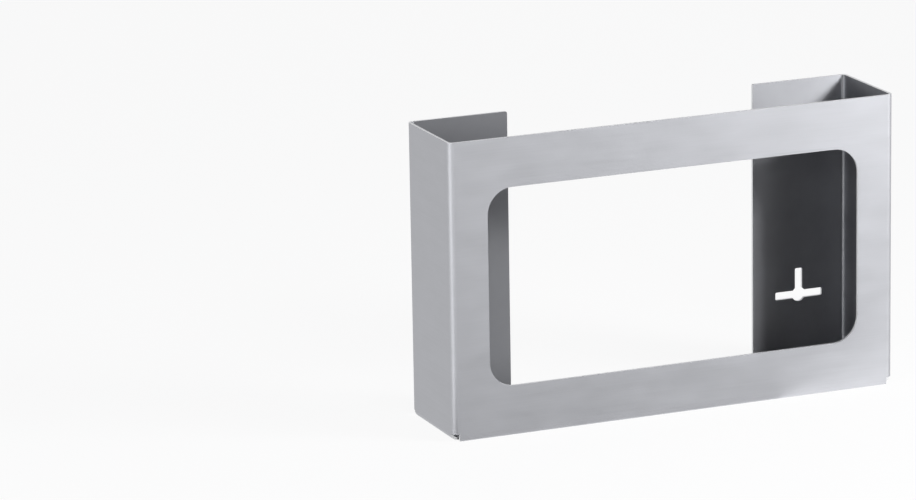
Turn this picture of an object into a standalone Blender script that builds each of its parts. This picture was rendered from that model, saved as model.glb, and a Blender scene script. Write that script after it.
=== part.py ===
"""Disposable glove dispenser: one stainless steel sheet, cut flat and folded into an open holder for a glove box.

The blank is drawn flat, with its window, keyholes, corner reliefs and ledge tabs, and is then folded as a press
brake folds it: first the two ledges, then the front and back bends of the two side walls.
The folded part stands on its front plate and ledges at z = 0, centred on x = 0 and y = 0, with its front at -Y.
Blank coordinates: u runs along the unrolled sheet, v runs up it, and w runs from the outer face to the inner face.
"""

import math

import bmesh
import bpy
from mathutils import Vector

# Folded outer size, in metres
WIDTH = 0.257
HEIGHT = 0.160
DEPTH = 0.057

# Sheet and bends
SHEET_THICKNESS = 0.0015
BEND_INNER_RADIUS = 0.002
BEND_NEUTRAL_SHARE = 0.42
BEND_STEPS = 12

# Window in the front plate
WINDOW_SIDE_BAND = 0.0213
WINDOW_TOP_BAND = 0.0266
WINDOW_BOTTOM_BAND = 0.0266
WINDOW_CORNER_RADIUS = 0.014

# Flanges folded in at the back, measured from a side wall's outer face
FLANGE_WIDTH = 0.0566
FLANGE_CORNER_RADIUS = 0.001

# Ledges under the glove box, measured from a side wall's outer face
LEDGE_REACH = 0.025
LEDGE_CORNER_RADIUS = 0.003
RELIEF_CLEARANCE = 0.0002

# Three-way keyholes in the flanges: a round entry with slots to the left, to the right and up.
# The inset is measured from a side wall's outer face to the entry's middle.
KEYHOLE_INSET = 0.029
KEYHOLE_SPACING = 0.0835
KEYHOLE_ENTRY_DIAMETER = 0.008
KEYHOLE_SLOT_WIDTH = 0.0043
KEYHOLE_SIDE_REACH = 0.014
KEYHOLE_UP_REACH = 0.0146
KEYHOLE_SLOT_CORNER = 0.0007

# Finish
STEEL_COLOUR = (0.58, 0.59, 0.61, 1.0)
STEEL_ROUGHNESS = 0.38

# Chords in a quarter turn
LARGE_ARC_STEPS = 12
SMALL_ARC_STEPS = 6
SLOT_ARC_STEPS = 3
ENTRY_ARC_STEPS = 18

# Values that follow from the sizes above
QUARTER_TURN = math.pi / 2
BEND_OUTER_RADIUS = BEND_INNER_RADIUS + SHEET_THICKNESS
BEND_LENGTH = QUARTER_TURN * (BEND_INNER_RADIUS + BEND_NEUTRAL_SHARE * SHEET_THICKNESS)
RELIEF_HEIGHT = BEND_OUTER_RADIUS + RELIEF_CLEARANCE

# Stations along u, counted from the middle of the front plate to the free edge of a flange
FRONT_END = WIDTH / 2 - BEND_OUTER_RADIUS
WALL_START = FRONT_END + BEND_LENGTH
WALL_END = WALL_START + DEPTH - 2 * BEND_OUTER_RADIUS
FLANGE_START = WALL_END + BEND_LENGTH
FLANGE_END = FLANGE_START + FLANGE_WIDTH - BEND_OUTER_RADIUS

# Stations along v, down from the ledge's bend line to its free edge
LEDGE_BEND_LINE = BEND_OUTER_RADIUS
LEDGE_BEND_END = LEDGE_BEND_LINE - BEND_LENGTH
LEDGE_END = LEDGE_BEND_END - (LEDGE_REACH - BEND_OUTER_RADIUS)

# The largest window corner, as a share of the window's half height or half width
LARGEST_CORNER_SHARE = 0.98

# Edges sharper than this stay sharp in the shading
SHARP_ANGLE = math.radians(20)

MERGE_DISTANCE = 1e-7
CUT_TOLERANCE = 1e-8


def clear_scene():
    """Removes what the scene holds, so that the part stands alone in it."""
    for thing in list(bpy.data.objects):
        bpy.data.objects.remove(thing, do_unlink=True)


def arc(centre, radius, start, end, steps):
    """Points of an arc about a centre, from one angle to another, both ends included."""
    angles = [start + (end - start) * i / steps for i in range(steps + 1)]
    return [(centre[0] + radius * math.cos(a), centre[1] + radius * math.sin(a)) for a in angles]


def corner(point, radius, quarter, steps):
    """A corner of an anticlockwise outline, rounded by an arc that starts quarter right angles round from +u."""
    start = quarter * QUARTER_TURN
    end = start + QUARTER_TURN
    middle = (start + end) / 2
    inward = (-math.copysign(1, math.cos(middle)), -math.copysign(1, math.sin(middle)))
    centre = (point[0] + radius * inward[0], point[1] + radius * inward[1])
    return arc(centre, radius, start, end, steps)


def blank_half():
    """The blank's outline right of its middle line, from the front plate's bottom edge up to its top edge."""
    points = [
        (FRONT_END - RELIEF_CLEARANCE, 0.0),
        (FRONT_END - RELIEF_CLEARANCE, RELIEF_HEIGHT),
        (WALL_START + RELIEF_CLEARANCE, RELIEF_HEIGHT),
    ]
    points += corner((WALL_START + RELIEF_CLEARANCE, LEDGE_END), LEDGE_CORNER_RADIUS, 2, SMALL_ARC_STEPS)
    points += corner((WALL_END - RELIEF_CLEARANCE, LEDGE_END), LEDGE_CORNER_RADIUS, 3, SMALL_ARC_STEPS)
    points.append((WALL_END - RELIEF_CLEARANCE, RELIEF_HEIGHT))
    points += corner((FLANGE_END, RELIEF_HEIGHT), FLANGE_CORNER_RADIUS, 3, SMALL_ARC_STEPS)
    points += corner((FLANGE_END, HEIGHT), FLANGE_CORNER_RADIUS, 0, SMALL_ARC_STEPS)
    return points


def blank_outline():
    """The whole outline: the right half, and its mirror image followed back down the left side."""
    right = blank_half()
    return right + [(-u, v) for u, v in reversed(right)]


def window_outline():
    """The rounded opening in the front plate that the gloves are drawn through."""
    half = WIDTH / 2 - WINDOW_SIDE_BAND
    low = WINDOW_BOTTOM_BAND
    high = HEIGHT - WINDOW_TOP_BAND
    radius = min(WINDOW_CORNER_RADIUS, LARGEST_CORNER_SHARE * min(half, (high - low) / 2))
    corners = [(half, low), (half, high), (-half, high), (-half, low)]
    points = []
    for place, quarter in zip(corners, (3, 0, 1, 2)):
        points += corner(place, radius, quarter, LARGE_ARC_STEPS)
    return points


def slot_end(direction, reach):
    """The end of a keyhole slot that points along direction, an angle, with its two small corners."""
    half = KEYHOLE_SLOT_WIDTH / 2
    points = corner((reach, -half), KEYHOLE_SLOT_CORNER, 3, SLOT_ARC_STEPS)
    points += corner((reach, half), KEYHOLE_SLOT_CORNER, 0, SLOT_ARC_STEPS)
    turned = (math.cos(direction), math.sin(direction))
    return [(x * turned[0] - y * turned[1], x * turned[1] + y * turned[0]) for x, y in points]


def keyhole_outline(centre):
    """A round entry with three slots, followed anticlockwise: right, up, left, then round under the entry."""
    radius = KEYHOLE_ENTRY_DIAMETER / 2
    mouth = math.asin(min(1.0, KEYHOLE_SLOT_WIDTH / KEYHOLE_ENTRY_DIAMETER))
    slots = [(0, KEYHOLE_SIDE_REACH), (1, KEYHOLE_UP_REACH), (2, KEYHOLE_SIDE_REACH)]
    points = []
    for quarter, reach in slots:
        direction = quarter * QUARTER_TURN
        points += slot_end(direction, reach)
        last = quarter == slots[-1][0]
        next_mouth = (4 if last else quarter + 1) * QUARTER_TURN - mouth
        steps = ENTRY_ARC_STEPS if last else SLOT_ARC_STEPS
        points += arc((0, 0), radius, direction + mouth, next_mouth, steps)
    return [(centre[0] + x, centre[1] + y) for x, y in points]


def keyhole_centres():
    """Two keyholes on each flange, at one distance from its side wall and evenly about its middle height."""
    along = FLANGE_START + KEYHOLE_INSET - BEND_OUTER_RADIUS
    middle = (RELIEF_HEIGHT + HEIGHT) / 2
    heights = [middle - KEYHOLE_SPACING / 2, middle + KEYHOLE_SPACING / 2]
    return [(side * along, height) for side in (-1, 1) for height in heights]


def add_spline(curve, points):
    """Adds a closed straight-sided spline to a flat curve."""
    spline = curve.splines.new("POLY")
    spline.points.add(len(points) - 1)
    for target, (u, v) in zip(spline.points, points):
        target.co = (u, v, 0.0, 1.0)
    spline.use_cyclic_u = True


def flat_blank(collection):
    """The cut sheet before folding, as a mesh with u along x, v along y and the outer face up."""
    curve = bpy.data.curves.new("blank_outline", "CURVE")
    curve.dimensions = "2D"
    curve.fill_mode = "BOTH"
    curve.extrude = SHEET_THICKNESS / 2
    add_spline(curve, blank_outline())
    add_spline(curve, window_outline())
    for centre in keyhole_centres():
        add_spline(curve, keyhole_outline(centre))
    drawing = bpy.data.objects.new("blank_outline", curve)
    collection.objects.link(drawing)
    evaluated = drawing.evaluated_get(bpy.context.evaluated_depsgraph_get())
    mesh = bpy.data.meshes.new_from_object(evaluated)
    bpy.data.objects.remove(drawing, do_unlink=True)
    mesh.name = "dispenser_body"
    return mesh


def score(mesh, position, axis, inside=None):
    """Cuts the mesh along a line across the sheet, so that it can bend there; inside picks the faces to cut."""
    faces = [f for f in mesh.faces if inside is None or inside(f.calc_center_median())]
    edges = {e for f in faces for e in f.edges}
    verts = {v for f in faces for v in f.verts}
    normal = Vector((1, 0, 0)) if axis == 0 else Vector((0, 1, 0))
    bmesh.ops.bisect_plane(
        mesh, geom=[*verts, *edges, *faces], dist=CUT_TOLERANCE, plane_co=normal * position, plane_no=normal
    )


def on_side_wall(point):
    """True for a place on the flat of a side wall or on its ledge tab."""
    return WALL_START < abs(point.x) < WALL_END


def score_bends(mesh):
    """Scores every bend of the blank in even steps, the ledge bends on the ledge tabs alone."""
    steps = [BEND_LENGTH * i / BEND_STEPS for i in range(BEND_STEPS + 1)]
    for start in (FRONT_END, WALL_END):
        for side in (-1, 1):
            for step in steps:
                score(mesh, side * (start + step), 0)
    for step in steps:
        score(mesh, LEDGE_BEND_LINE - step, 1, on_side_wall)


def fold(distance, offset):
    """Folds the sheet once through a right angle, towards its inner face.

    distance is how far a point lies beyond the bend's start, along the flat sheet, and offset its depth from the
    outer face. Gives its place after the fold, along the sheet's first direction and across it.
    """
    if distance <= 0:
        return distance, offset
    angle = QUARTER_TURN * min(1.0, distance / BEND_LENGTH)
    radius = BEND_OUTER_RADIUS - offset
    beyond = max(0.0, distance - BEND_LENGTH)
    along = radius * math.sin(angle) + beyond * math.cos(angle)
    across = BEND_OUTER_RADIUS - radius * math.cos(angle) + beyond * math.sin(angle)
    return along, across


def fold_point(u, v, w):
    """Takes a point of the flat blank to its place on the folded part."""
    if WALL_START < abs(u) < WALL_END and v < LEDGE_BEND_LINE:
        down, w = fold(LEDGE_BEND_LINE - v, w)
        v = LEDGE_BEND_LINE - down
    along, across = fold(abs(u) - WALL_END, w)
    along, across = fold(along + WALL_END - FRONT_END, across)
    x = math.copysign(FRONT_END + along, u)
    y = across - DEPTH / 2
    return Vector((x, y, v))


def fold_blank(mesh):
    """Scores the flat blank at its bends and moves every point to its folded place."""
    sheet = bmesh.new()
    sheet.from_mesh(mesh)
    bmesh.ops.remove_doubles(sheet, verts=sheet.verts, dist=MERGE_DISTANCE)
    score_bends(sheet)
    for vert in sheet.verts:
        u, v, up = vert.co
        vert.co = fold_point(u, v, SHEET_THICKNESS / 2 - up)
    bmesh.ops.recalc_face_normals(sheet, faces=sheet.faces)
    sheet.to_mesh(mesh)
    sheet.free()


def steel():
    """Brushed stainless steel, as the plain sheet shows it."""
    material = bpy.data.materials.new("brushed_stainless_steel")
    material.use_nodes = True
    shader = material.node_tree.nodes["Principled BSDF"]
    shader.inputs["Base Color"].default_value = STEEL_COLOUR
    shader.inputs["Metallic"].default_value = 1.0
    shader.inputs["Roughness"].default_value = STEEL_ROUGHNESS
    return material


def build():
    """Makes the one folded piece of the dispenser."""
    clear_scene()
    collection = bpy.data.collections.new("disposable_glove_dispenser")
    bpy.context.scene.collection.children.link(collection)
    mesh = flat_blank(collection)
    fold_blank(mesh)
    mesh.materials.append(steel())
    mesh.shade_smooth()
    mesh.set_sharp_from_angle(angle=SHARP_ANGLE)
    collection.objects.link(bpy.data.objects.new("dispenser_body", mesh))


build()
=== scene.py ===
"""Looks of the disposable glove dispenser: one sheet of stainless steel, cut and folded, in its studio."""

import math
from collections import Counter

import bpy
from bpy.props import FloatProperty, FloatVectorProperty, PointerProperty
from mathutils import Matrix, Vector


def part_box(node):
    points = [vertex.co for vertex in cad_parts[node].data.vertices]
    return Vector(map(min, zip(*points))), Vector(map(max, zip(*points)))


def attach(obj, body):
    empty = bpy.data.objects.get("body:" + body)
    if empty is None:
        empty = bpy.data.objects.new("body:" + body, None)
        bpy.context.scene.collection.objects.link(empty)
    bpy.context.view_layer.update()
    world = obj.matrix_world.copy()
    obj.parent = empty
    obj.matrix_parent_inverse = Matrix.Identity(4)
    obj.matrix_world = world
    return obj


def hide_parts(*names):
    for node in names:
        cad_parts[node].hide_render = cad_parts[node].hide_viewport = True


bl_info = {
    "name": "Disposable Glove Dispenser",
    "version": (1, 0, 0),
    "blender": (4, 5, 0),
    "location": "View3D > Sidebar > Dispenser",
    "description": "Dresses the folded steel dispenser and sets up its studio",
    "category": "Object",
}

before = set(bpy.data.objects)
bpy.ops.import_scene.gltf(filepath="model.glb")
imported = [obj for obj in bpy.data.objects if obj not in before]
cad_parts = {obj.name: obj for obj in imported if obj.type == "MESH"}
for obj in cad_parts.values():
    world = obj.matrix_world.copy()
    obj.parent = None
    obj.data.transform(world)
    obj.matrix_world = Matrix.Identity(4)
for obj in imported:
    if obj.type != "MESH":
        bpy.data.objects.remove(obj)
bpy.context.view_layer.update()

MM = 0.001
SHEET_NODE = "dispenser_body"
SHEET_MAP = "unrolled_sheet"

# The sheet's thickness and bends, as the solid has them
SHEET_THICKNESS = 1.5 * MM
BEND_INNER_RADIUS = 2.0 * MM
BEND_NEUTRAL_SHARE = 0.42
BEND_OUTER_RADIUS = BEND_INNER_RADIUS + SHEET_THICKNESS
QUARTER_TURN = math.pi / 2
BEND_LENGTH = QUARTER_TURN * (BEND_INNER_RADIUS + BEND_NEUTRAL_SHARE * SHEET_THICKNESS)

# The finishes of the sheet, in the order of the piece's materials
OUTER_FACE, INNER_FACE, CUT_EDGE = range(3)
FACE_DEPTH_SLACK = 0.02 * MM

# How the copy of the solid is joined up, and which of its edges are flat, cut and rounded
MERGE_DISTANCE = 0.001 * MM
FLAT_ANGLE = math.radians(0.5)
CUT_EDGE_ANGLE = math.radians(50)
SMOOTH_ANGLE = math.radians(35)
EDGE_BREAK_STEPS = 2

# An anisotropic sheen is turned by this share of a full turn when the grain lies level
LEVEL_GRAIN = 0.25

# The part of a noise's values that is stretched over a finish's whole range
NOISE_LOW, NOISE_HIGH = 0.3, 0.7

# The soft clouds in the brushed grain: their size, their share of the grain beside its lines, and where they begin
GRAIN_CLOUD_LENGTH = 30 * MM
GRAIN_CLOUD_HEIGHT = 10 * MM
GRAIN_CLOUD_SHARE = 0.55
GRAIN_CLOUD_START = (3.1, 7.7, 0.0)

# The sizes of the rolled face's clouds and skin and of the cut's ridges, and how deep any scratch or ridge is
MILL_CLOUD_SIZE = 30 * MM
MILL_SKIN_SIZE = 0.8 * MM
RIDGE_SPACING = 0.6 * MM
SCRATCH_DEPTH = 0.02 * MM

# The camera, fitted to the straight edges of the photographed dispenser: its place, how far it is turned, tilted and
# rolled, its lens in millimetres, and how near and how far it sees
CAMERA_PLACE = (-1.07223, -2.33036, 0.74186)
CAMERA_TURN = math.radians(-22.3860)
CAMERA_TILT = math.radians(14.3891)
CAMERA_ROLL = math.radians(-0.9983)
CAMERA_LENS = 195.444
CAMERA_NEAR, CAMERA_FAR = 0.01, 100.0

# The softboxes: the point that all face, and for each where it stands, its width, its height and its power in watts
SOFTBOX_AIM = Vector((0.03, 0.0, 0.08))
SOFTBOXES = {
    "softbox_key": ((0.50, -0.42, 0.44), 0.15, 0.15, 2.8),
    "softbox_key_front": ((0.52, -0.65, 0.54), 0.20, 0.20, 2.3),
    "softbox_right": ((1.30, -0.90, 0.80), 0.50, 0.50, 5.8),
    "softbox_front": ((-0.15, -1.80, 0.60), 0.60, 0.60, 9.0),
    "softbox_left": ((-1.00, -0.45, 0.38), 0.80, 0.44, 5.8),
    "softbox_back_left": ((-0.90, 0.90, 0.45), 0.80, 0.80, 0.7),
    "softbox_back": ((0.50, 1.40, 0.90), 0.80, 0.80, 2.5),
}

# How far up, as the sine of the elevation, the studio's walls end and its ceiling begins
WALLS_END, CEILING_START = 0.10, 0.35

# The round floor, and how much of what the camera and the steel see of it is plain white; the rest is its own light
# and shadow
FLOOR_RADIUS = 12.0
FLOOR_SIDES = 96
FLOOR_WHITE = "#FFFFFF"
FLOOR_WHITE_SHARE = 0.90
MATT_ROUGHNESS = 0.9

# Black cards on the floor that paint shade into the steel's sheen only: the one under the part is painted shade of
# the floor inside the dispenser, the others paint dark reflections of the floor in front. The left, right and front
# edge of each, how far back it reaches at its left and at its right end, their height over the floor, and their
# colour
PAINTED_SHADE_CARDS = {
    "painted_floor_shade_under_part": (-0.125, 0.125, -0.027, 0.027, 0.027),
    "painted_dark_floor_in_front": (-0.15, 0.06, -2.5, -0.0287, -0.0287),
    "painted_dark_floor_at_right": (0.06, 2.5, -2.5, -0.0287, -1.0),
}
PAINTED_SHADE_CARD_HEIGHT = 0.1 * MM
PAINTED_SHADE_COLOUR = "#202022"


def linear(hex_colour):
    """An sRGB colour such as "#B9BABD", turned to linear red, green, blue."""
    parts = [int(hex_colour[i : i + 2], 16) / 255 for i in (1, 3, 5)]
    return tuple(c / 12.92 if c <= 0.04045 else ((c + 0.055) / 1.055) ** 2.4 for c in parts)


class DispenserSheetSettings(bpy.types.PropertyGroup):
    """Sizes and colours of the folded sheet"""

    edge_break: FloatProperty(
        name="Edge break",
        description="Width of the deburred bevel along every cut edge, as far as the shortest edge leaves room",
        default=0.15 * MM,
        min=0.0,
        unit="LENGTH",
    )
    steel_colour: FloatVectorProperty(
        name="Steel",
        description="Colour of the brushed face of the sheet",
        default=linear("#BCBDC1"),
        subtype="COLOR",
        min=0.0,
        max=1.0,
    )
    # Darker than the outer face's steel colour: painted shade for the inside of the dispenser
    shaded_inner_colour: FloatVectorProperty(
        name="Inner face",
        description="Colour of the dull inner face of the sheet",
        default=linear("#A0A1A5"),
        subtype="COLOR",
        min=0.0,
        max=1.0,
    )
    edge_colour: FloatVectorProperty(
        name="Cut edge",
        description="Colour of the bare cut edge of the sheet",
        default=linear("#E2E3E4"),
        subtype="COLOR",
        min=0.0,
        max=1.0,
    )
    grain_spacing: FloatProperty(
        name="Grain spacing",
        description="Distance between the lines of the brushed grain",
        default=0.7 * MM,
        min=0.05 * MM,
        unit="LENGTH",
    )
    grain_length: FloatProperty(
        name="Grain length",
        description="Length of one line of the brushed grain",
        default=60 * MM,
        min=1 * MM,
        unit="LENGTH",
    )


class DispenserStageSettings(bpy.types.PropertyGroup):
    """Colours and light of the studio"""

    floor_colour: FloatVectorProperty(
        name="Floor",
        description="Colour of the floor",
        default=linear("#E0E0E2"),
        subtype="COLOR",
        min=0.0,
        max=1.0,
    )
    wall_colour: FloatVectorProperty(
        name="Studio walls",
        description="Colour of the pale walls round the horizon",
        default=linear("#F2F2F3"),
        subtype="COLOR",
        min=0.0,
        max=1.0,
    )
    ceiling_colour: FloatVectorProperty(
        name="Studio ceiling",
        description="Colour of the dim ceiling",
        default=linear("#808083"),
        subtype="COLOR",
        min=0.0,
        max=1.0,
    )
    light_level: FloatProperty(
        name="Light level",
        description="Strength of all the softboxes together",
        default=1.0,
        min=0.0,
        subtype="FACTOR",
    )


def node(tree, kind, settings=None, **links):
    """Adds a node with its own settings, and gives its sockets numbers, colours or other nodes' outputs.

    A socket goes by its name with _ for a space, or by _ and its number where others have the same name.
    """
    made = tree.nodes.new(kind)
    for name, value in (settings or {}).items():
        setattr(made, name, value)
    for name, value in links.items():
        plain = name.replace("_", " ")
        socket = made.inputs[int(name[1:])] if name[1:].isdigit() else made.inputs[plain]
        if isinstance(value, bpy.types.NodeSocket):
            tree.links.new(value, socket)
        else:
            socket.default_value = value
    return made


def bare_metal(name, anisotropy):
    """A new material of bare metal and its nodes; the grain lies level, so its sheen is drawn out upright."""
    material = bpy.data.materials.new(name)
    material.use_nodes = True
    shader = material.node_tree.nodes["Principled BSDF"]
    shader.inputs["Metallic"].default_value = 1.0
    shader.inputs["Anisotropic"].default_value = anisotropy
    shader.inputs["Anisotropic Rotation"].default_value = LEVEL_GRAIN
    return material, material.node_tree, shader


def vary(tree, pattern, colour, shades, roughnesses):
    """Makes a metal darker or lighter, and its sheen tighter or wider, as a pattern runs from low to high."""
    shader = tree.nodes["Principled BSDF"]
    stretch = {"Value": pattern, "From_Min": NOISE_LOW, "From_Max": NOISE_HIGH}
    shade = node(tree, "ShaderNodeMapRange", None, **stretch, To_Min=shades[0], To_Max=shades[1]).outputs["Result"]
    tone = node(tree, "ShaderNodeVectorMath", {"operation": "SCALE"}, _0=tuple(colour), Scale=shade)
    dull = node(tree, "ShaderNodeMapRange", None, **stretch, To_Min=roughnesses[0], To_Max=roughnesses[1])
    tree.links.new(tone.outputs["Vector"], shader.inputs["Base Color"])
    tree.links.new(dull.outputs["Result"], shader.inputs["Roughness"])


def brushed_steel(settings):
    """Stainless steel sheet, satin brushed along its length: the outer face.

    Belt grinding leaves long fine scratches. They give the eye a soft satin sheen that is drawn out across the
    grain, faint streaks and long clouds along it, and no sharp mirror image. The real lines are about 0.1 mm apart,
    too fine to show, so they are drawn as wide as grain_spacing.
    """
    material, tree, shader = bare_metal("brushed_stainless_steel_sheet", anisotropy=0.5)
    sheet = node(tree, "ShaderNodeUVMap", {"uv_map": SHEET_MAP}).outputs["UV"]
    line_scale = (1 / settings.grain_length, 1 / settings.grain_spacing, 1.0)
    cloud_scale = (1 / GRAIN_CLOUD_LENGTH, 1 / GRAIN_CLOUD_HEIGHT, 1.0)
    flat = {"noise_dimensions": "2D"}
    lines_place = node(tree, "ShaderNodeMapping", None, Vector=sheet, Scale=line_scale).outputs["Vector"]
    lines = node(
        tree, "ShaderNodeTexNoise", flat, Vector=lines_place, Scale=1.0, Detail=3.0, Roughness=0.6
    ).outputs["Fac"]
    clouds_place = node(
        tree, "ShaderNodeMapping", None, Vector=sheet, Location=GRAIN_CLOUD_START, Scale=cloud_scale
    ).outputs["Vector"]
    clouds = node(
        tree, "ShaderNodeTexNoise", flat, Vector=clouds_place, Scale=1.0, Detail=2.0, Roughness=0.5
    ).outputs["Fac"]
    grain = node(
        tree, "ShaderNodeMix", {"data_type": "FLOAT"}, Factor=GRAIN_CLOUD_SHARE, _2=lines, _3=clouds
    ).outputs["Result"]
    vary(tree, grain, settings.steel_colour, shades=(0.955, 1.045), roughnesses=(0.57, 0.63))
    bump = node(tree, "ShaderNodeBump", None, Strength=0.15, Distance=SCRATCH_DEPTH, Height=lines)
    tree.links.new(bump.outputs["Normal"], shader.inputs["Normal"])
    return material


def mill_steel(settings):
    """Stainless steel sheet as it leaves the cold rolling mill: the inner face, which isn't brushed.

    Pickling and a light last rolling leave a fine dull skin, even and without streaks, with faint clouds a few
    centimetres across. Its colour is darker and greyer than the brushed face's: painted shade for the inside of the
    dispenser.
    """
    material, tree, shader = bare_metal("cold_rolled_stainless_steel_sheet", anisotropy=0.85)
    sheet = node(tree, "ShaderNodeUVMap", {"uv_map": SHEET_MAP}).outputs["UV"]
    flat = {"noise_dimensions": "2D"}
    clouds = node(
        tree, "ShaderNodeTexNoise", flat, Vector=sheet, Scale=1 / MILL_CLOUD_SIZE, Detail=3.0
    ).outputs["Fac"]
    skin = node(tree, "ShaderNodeTexNoise", flat, Vector=sheet, Scale=1 / MILL_SKIN_SIZE, Detail=2.0).outputs["Fac"]
    # The darker inner colour paints the shade inside the dispenser
    vary(tree, clouds, settings.shaded_inner_colour, shades=(0.95, 1.05), roughnesses=(0.50, 0.46))
    bump = node(tree, "ShaderNodeBump", None, Strength=0.1, Distance=SCRATCH_DEPTH, Height=skin)
    tree.links.new(bump.outputs["Normal"], shader.inputs["Normal"])
    return material


def cut_steel(settings):
    """Stainless steel, laser cut and deburred: the bare edge of the sheet.

    The beam leaves fine ridges straight across the thickness, which give the eye a lighter and duller line than the
    brushed faces. The real ridges are about 0.2 mm apart, and are drawn at 0.6 mm to show.
    """
    material, tree, shader = bare_metal("laser_cut_stainless_edge", anisotropy=0.0)
    place = node(tree, "ShaderNodeTexCoord").outputs["Object"]
    ridges = node(
        tree, "ShaderNodeTexNoise", None, Vector=place, Scale=1 / RIDGE_SPACING, Detail=2.0, Roughness=0.5
    ).outputs["Fac"]
    vary(tree, ridges, settings.edge_colour, shades=(0.90, 1.06), roughnesses=(0.55, 0.65))
    bump = node(tree, "ShaderNodeBump", None, Strength=0.1, Distance=SCRATCH_DEPTH, Height=ridges)
    tree.links.new(bump.outputs["Normal"], shader.inputs["Normal"])
    return material


def working_copy(name, source):
    """A new object with its own copy of a solid's mesh, selected alone and active."""
    bpy.ops.object.select_all(action="DESELECT")
    piece = bpy.data.objects.new(name, source.data.copy())
    piece.data.name = name
    bpy.context.scene.collection.objects.link(piece)
    piece.select_set(True)
    bpy.context.view_layer.objects.active = piece
    return piece


def unfolded(point, face_middle, box):
    """The place of a point on the flat sheet: u along it from the middle, v up it, w in from its outer face."""
    low, high = box
    side = math.copysign(1.0, face_middle.x)
    turn = high.x - BEND_OUTER_RADIUS
    back_turn = high.y - low.y - BEND_OUTER_RADIUS
    wall_start = turn + BEND_LENGTH
    flange_start = wall_start + back_turn - BEND_OUTER_RADIUS + BEND_LENGTH
    across, depth, height = side * point.x, point.y - low.y, point.z
    middle_across, middle_depth = side * face_middle.x, face_middle.y - low.y
    if middle_across < turn and middle_depth < BEND_OUTER_RADIUS:
        return side * across, height, depth
    if middle_across < turn and middle_depth > back_turn:
        return side * (flange_start + turn - across), height, back_turn + BEND_OUTER_RADIUS - depth
    if middle_depth < BEND_OUTER_RADIUS:
        out, back = across - turn, BEND_OUTER_RADIUS - depth
        angle = math.atan2(out, back)
        return side * (turn + BEND_LENGTH * angle / QUARTER_TURN), height, BEND_OUTER_RADIUS - math.hypot(out, back)
    if middle_depth > back_turn:
        out, back = across - turn, depth - back_turn
        angle = math.atan2(back, out)
        u = flange_start - BEND_LENGTH + BEND_LENGTH * angle / QUARTER_TURN
        return side * u, height, BEND_OUTER_RADIUS - math.hypot(out, back)
    along = side * (wall_start + depth - BEND_OUTER_RADIUS)
    if face_middle.z >= BEND_OUTER_RADIUS:
        return along, height, high.x - across
    if middle_across <= turn:
        return along, BEND_OUTER_RADIUS - BEND_LENGTH - (turn - across), height
    out, down = across - turn, BEND_OUTER_RADIUS - height
    angle = math.atan2(down, out)
    return along, BEND_OUTER_RADIUS - BEND_LENGTH * angle / QUARTER_TURN, BEND_OUTER_RADIUS - math.hypot(out, down)


def map_sheet(piece):
    """Gives each face its place on the flat sheet, so that the grain runs on round every bend, and its finish."""
    mesh = piece.data
    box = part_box(SHEET_NODE)
    layer = mesh.uv_layers.new(name=SHEET_MAP)
    mesh.uv_layers.active = layer
    for face in mesh.polygons:
        for loop in face.loop_indices:
            point = mesh.vertices[mesh.loops[loop].vertex_index].co
            layer.data[loop].uv = unfolded(point, face.center, box)[:2]
        depths = [unfolded(mesh.vertices[vert].co, face.center, box)[2] for vert in face.vertices]
        if max(depths) < FACE_DEPTH_SLACK:
            face.material_index = OUTER_FACE
        elif min(depths) > SHEET_THICKNESS - FACE_DEPTH_SLACK:
            face.material_index = INNER_FACE
        else:
            face.material_index = CUT_EDGE


def check_sheet(piece):
    """Stops the script if the sheet isn't one closed skin, or if one of its finishes is on no face."""
    faces_at_edge = Counter(edge for face in piece.data.polygons for edge in face.edge_keys)
    if len(faces_at_edge) != len(piece.data.edges) or set(faces_at_edge.values()) != {2}:
        raise RuntimeError("The folded sheet has an open or a stray edge")
    if {face.material_index for face in piece.data.polygons} != {OUTER_FACE, INNER_FACE, CUT_EDGE}:
        raise RuntimeError("A finish of the folded sheet is on no face")


class MESH_OT_folded_sheet(bpy.types.Operator):
    """Adds the folded steel sheet in place of the plain solid"""

    bl_idname = "mesh.dispenser_folded_sheet"
    bl_label = "Folded Sheet"

    def execute(self, context):
        settings = context.scene.dispenser_sheet
        piece = working_copy("folded_sheet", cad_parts[SHEET_NODE])
        bpy.ops.object.mode_set(mode="EDIT")
        bpy.ops.mesh.select_mode(type="VERT")
        bpy.ops.mesh.select_all(action="SELECT")
        bpy.ops.mesh.remove_doubles(threshold=MERGE_DISTANCE)
        bpy.ops.mesh.dissolve_limited(angle_limit=FLAT_ANGLE)
        bpy.ops.mesh.select_all(action="DESELECT")
        bpy.ops.mesh.select_mode(type="EDGE")
        bpy.ops.mesh.edges_select_sharp(sharpness=CUT_EDGE_ANGLE)
        bpy.ops.mesh.bevel(offset=settings.edge_break, segments=EDGE_BREAK_STEPS, clamp_overlap=True)
        bpy.ops.mesh.select_all(action="DESELECT")
        bpy.ops.object.mode_set(mode="OBJECT")
        piece.data.materials.clear()
        piece.data.materials.append(brushed_steel(settings))
        piece.data.materials.append(mill_steel(settings))
        piece.data.materials.append(cut_steel(settings))
        map_sheet(piece)
        check_sheet(piece)
        bpy.ops.object.shade_smooth_by_angle(angle=SMOOTH_ANGLE)
        weighted = piece.modifiers.new("even_faces", "WEIGHTED_NORMAL")
        weighted.keep_sharp = True
        bpy.ops.object.modifier_apply(modifier=weighted.name)
        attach(piece, "root")
        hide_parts(SHEET_NODE)
        return {"FINISHED"}


def add_softbox(name, place, width, height, power):
    """A rectangular softbox at a place, turned to the part and out of the camera's sight."""
    lamp = bpy.data.lights.new(name, "AREA")
    lamp.shape = "RECTANGLE"
    lamp.size = width
    lamp.size_y = height
    lamp.energy = power
    holder = bpy.data.objects.new(name, lamp)
    bpy.context.scene.collection.objects.link(holder)
    holder.visible_camera = False
    holder.location = place
    holder.rotation_euler = (SOFTBOX_AIM - Vector(place)).to_track_quat("-Z", "Y").to_euler()


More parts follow.
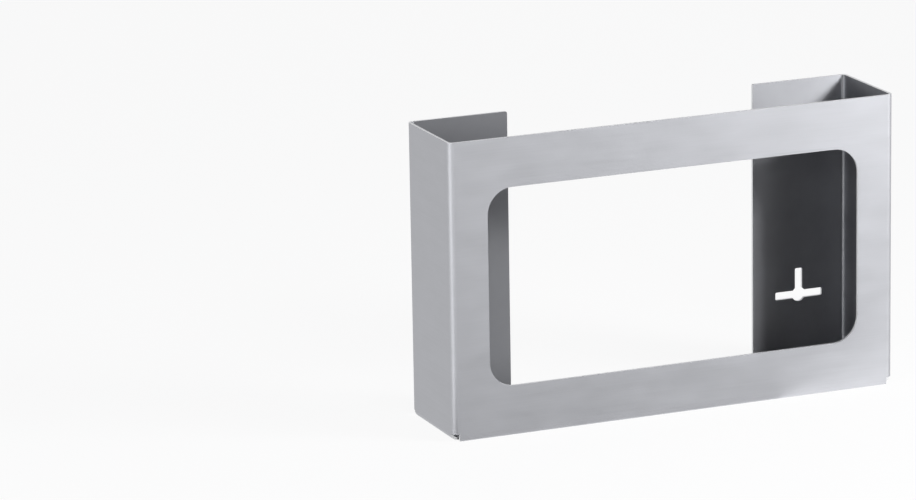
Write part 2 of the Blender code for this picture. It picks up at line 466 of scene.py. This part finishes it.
def floor_material(settings):
    """Matt white paper: it shows as white behind the part and in its sheen, and keeps the part's soft shadow."""
    material = bpy.data.materials.new("matt_white_paper")
    material.use_nodes = True
    tree = material.node_tree
    paper = tree.nodes["Principled BSDF"]
    paper.inputs["Base Color"].default_value = (*settings.floor_colour, 1.0)
    paper.inputs["Roughness"].default_value = MATT_ROUGHNESS
    white = node(tree, "ShaderNodeEmission", None, Color=(*linear(FLOOR_WHITE), 1.0), Strength=1.0)
    rays = node(tree, "ShaderNodeLightPath").outputs
    seen = rays["Is Camera Ray"]
    for kind in ("Is Glossy Ray", "Is Transmission Ray"):
        seen = node(tree, "ShaderNodeMath", {"operation": "MAXIMUM"}, _0=seen, _1=rays[kind]).outputs[0]
    share = node(tree, "ShaderNodeMath", {"operation": "MULTIPLY"}, _0=seen, _1=FLOOR_WHITE_SHARE).outputs[0]
    both = node(tree, "ShaderNodeMixShader", None, _0=share, _1=paper.outputs["BSDF"], _2=white.outputs["Emission"])
    tree.links.new(both.outputs["Shader"], tree.nodes["Material Output"].inputs["Surface"])
    return material


def add_painted_shade_cards():
    """Black cards on the floor under and in front of the part, seen only in the steel's sheen: painted shade of the
    floor under it and painted dark reflections in front of it.
    """
    material = bpy.data.materials.new("painted_shade_card")
    material.use_nodes = True
    shader = material.node_tree.nodes["Principled BSDF"]
    shader.inputs["Base Color"].default_value = (*linear(PAINTED_SHADE_COLOUR), 1.0)
    shader.inputs["Roughness"].default_value = MATT_ROUGHNESS
    for name, (left, right, front, back_left, back_right) in PAINTED_SHADE_CARDS.items():
        bpy.ops.object.select_all(action="DESELECT")
        bpy.ops.mesh.primitive_plane_add(size=1.0, location=(0.0, 0.0, 0.0))
        card = bpy.context.active_object
        card.name = name
        corners = ((left, front), (right, front), (left, back_left), (right, back_right))
        for vert, (x, y) in zip(card.data.vertices, corners):
            vert.co = (x, y, PAINTED_SHADE_CARD_HEIGHT)
        # Seen by nothing but the steel's sheen: painted shade and painted dark reflections
        card.visible_camera = False
        card.visible_diffuse = False
        card.visible_shadow = False
        card.data.materials.append(material)


def set_world(settings):
    """A studio with pale walls and a dim ceiling: light comes from round the horizon and little from above."""
    world = bpy.data.worlds.new("studio_room")
    world.use_nodes = True
    tree = world.node_tree
    background = tree.nodes["Background"]
    background.inputs["Strength"].default_value = 1.0
    place = node(tree, "ShaderNodeTexCoord").outputs["Generated"]
    height = node(tree, "ShaderNodeSeparateXYZ", None, Vector=place).outputs["Z"]
    share = node(
        tree, "ShaderNodeMapRange", None, Value=height, From_Min=WALLS_END, From_Max=CEILING_START
    ).outputs["Result"]
    # A Mix node's sockets for colours are its inputs 6 and 7 and its output 2
    mixed = node(
        tree,
        "ShaderNodeMix",
        {"data_type": "RGBA"},
        _0=share,
        _6=(*settings.wall_colour, 1.0),
        _7=(*settings.ceiling_colour, 1.0),
    )
    tree.links.new(mixed.outputs[2], background.inputs["Color"])
    bpy.context.scene.world = world


def add_camera():
    """The camera at the photograph's viewing angle, aimed by its turn, tilt and roll."""
    camera = bpy.data.cameras.new("camera")
    camera.lens = CAMERA_LENS
    camera.clip_start = CAMERA_NEAR
    camera.clip_end = CAMERA_FAR
    camera.dof.use_dof = False
    holder = bpy.data.objects.new("camera", camera)
    bpy.context.scene.collection.objects.link(holder)
    level_right = Vector((math.cos(CAMERA_TURN), math.sin(CAMERA_TURN), 0.0))
    ahead = Vector(
        (
            -math.sin(CAMERA_TURN) * math.cos(CAMERA_TILT),
            math.cos(CAMERA_TURN) * math.cos(CAMERA_TILT),
            -math.sin(CAMERA_TILT),
        )
    )
    level_up = level_right.cross(ahead)
    right = math.cos(CAMERA_ROLL) * level_right + math.sin(CAMERA_ROLL) * level_up
    up = math.cos(CAMERA_ROLL) * level_up - math.sin(CAMERA_ROLL) * level_right
    axes = Matrix((right, up, -ahead)).transposed().to_4x4()
    holder.matrix_world = Matrix.Translation(CAMERA_PLACE) @ axes
    bpy.context.scene.camera = holder


class OBJECT_OT_dispenser_stage(bpy.types.Operator):
    """Adds the floor, the cards that paint shade into the steel's sheen, the softboxes, the room's light and the
    camera
    """

    bl_idname = "object.dispenser_stage"
    bl_label = "Studio Stage"

    def execute(self, context):
        settings = context.scene.dispenser_stage
        bpy.ops.object.select_all(action="DESELECT")
        bpy.ops.mesh.primitive_circle_add(
            vertices=FLOOR_SIDES, radius=FLOOR_RADIUS, fill_type="NGON", location=(0.0, 0.0, 0.0)
        )
        floor = context.active_object
        floor.name = "studio_floor"
        floor.data.materials.append(floor_material(settings))
        add_painted_shade_cards()
        set_world(settings)
        for name, (place, width, height, power) in SOFTBOXES.items():
            add_softbox(name, place, width, height, power * settings.light_level)
        add_camera()
        context.scene.view_settings.view_transform = "Standard"
        if context.scene.camera is None or context.scene.world is None:
            raise RuntimeError("The stage has no camera or no room")
        return {"FINISHED"}


class VIEW3D_PT_dispenser(bpy.types.Panel):
    """Lists the dispenser's sizes, colours and steps"""

    bl_idname = "VIEW3D_PT_dispenser"
    bl_label = "Glove Dispenser"
    bl_space_type = "VIEW_3D"
    bl_region_type = "UI"
    bl_category = "Dispenser"

    def draw(self, context):
        for settings in (context.scene.dispenser_sheet, context.scene.dispenser_stage):
            box = self.layout.box()
            for name in settings.__annotations__:
                box.prop(settings, name)
        for step in STEPS:
            self.layout.operator(step.bl_idname)


STEPS = (MESH_OT_folded_sheet, OBJECT_OT_dispenser_stage)
CLASSES = (DispenserSheetSettings, DispenserStageSettings, *STEPS, VIEW3D_PT_dispenser)


def register():
    """Registers the settings, the steps and the panel."""
    for kind in CLASSES:
        bpy.utils.register_class(kind)
    bpy.types.Scene.dispenser_sheet = PointerProperty(type=DispenserSheetSettings)
    bpy.types.Scene.dispenser_stage = PointerProperty(type=DispenserStageSettings)


def unregister():
    """Takes the settings, the steps and the panel away again."""
    del bpy.types.Scene.dispenser_stage
    del bpy.types.Scene.dispenser_sheet
    for kind in reversed(CLASSES):
        bpy.utils.unregister_class(kind)


def main():
    """Registers the settings and steps, and makes every piece and the stage."""
    register()
    bpy.ops.mesh.dispenser_folded_sheet()
    bpy.ops.object.dispenser_stage()


if __name__ == "__main__":
    main()
